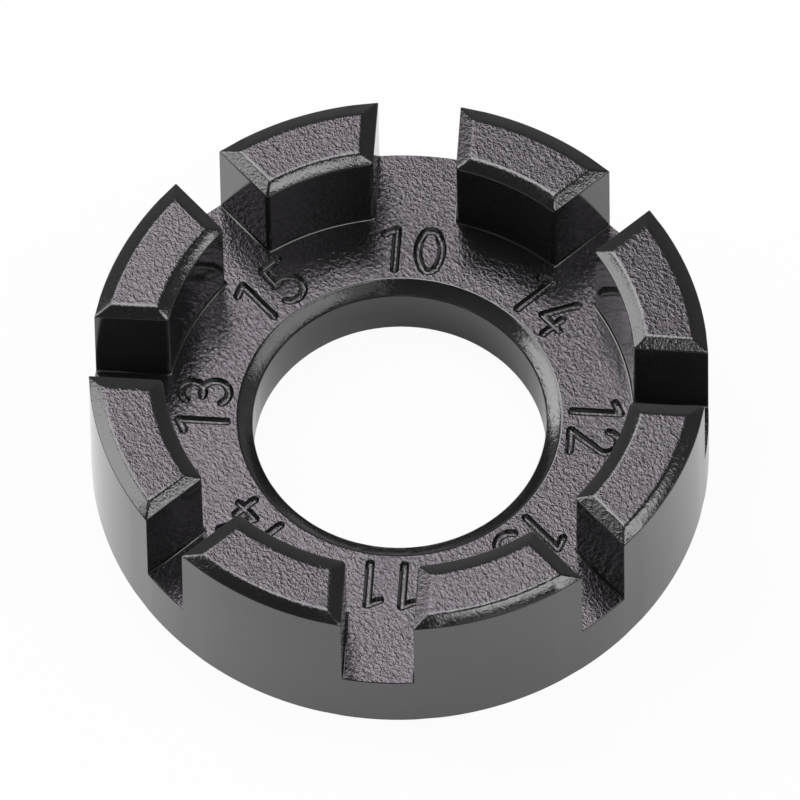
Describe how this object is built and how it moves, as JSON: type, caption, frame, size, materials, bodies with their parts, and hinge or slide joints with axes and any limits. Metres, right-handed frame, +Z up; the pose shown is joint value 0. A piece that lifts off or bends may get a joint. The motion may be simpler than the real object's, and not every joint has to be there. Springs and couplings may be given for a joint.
{
  "type": "spoke wrench",
  "caption": "Round black spoke wrench: a flat ring with a centre bore, raised jaws and nipple slots of graded width, each with its gauge number engraved beside it.",
  "frame": {"origin": "on the bore's axis at the underside, which is the centre of the bottom of the part", "axes": "+Z up along the bore's axis, out of the floor that carries the jaws; +Y out through the slot for gauge 10, +X out through the slot for gauge 12"},
  "size_m": [0.038, 0.038, 0.0109],
  "materials": {
    "black_coat": "glossy black coat, smooth on the walls and chamfers, with a fine cast grain on the floor and on top of the jaws"
  },
  "bodies": {
    "root": {"base_ring": "black_coat", "jaw_10_15": "black_coat", "jaw_15_13": "black_coat", "jaw_13_14": "black_coat", "jaw_14_11": "black_coat", "jaw_11_15": "black_coat", "jaw_15_12": "black_coat", "jaw_12_14": "black_coat", "jaw_14_10": "black_coat"}
  },
  "joints": []
}
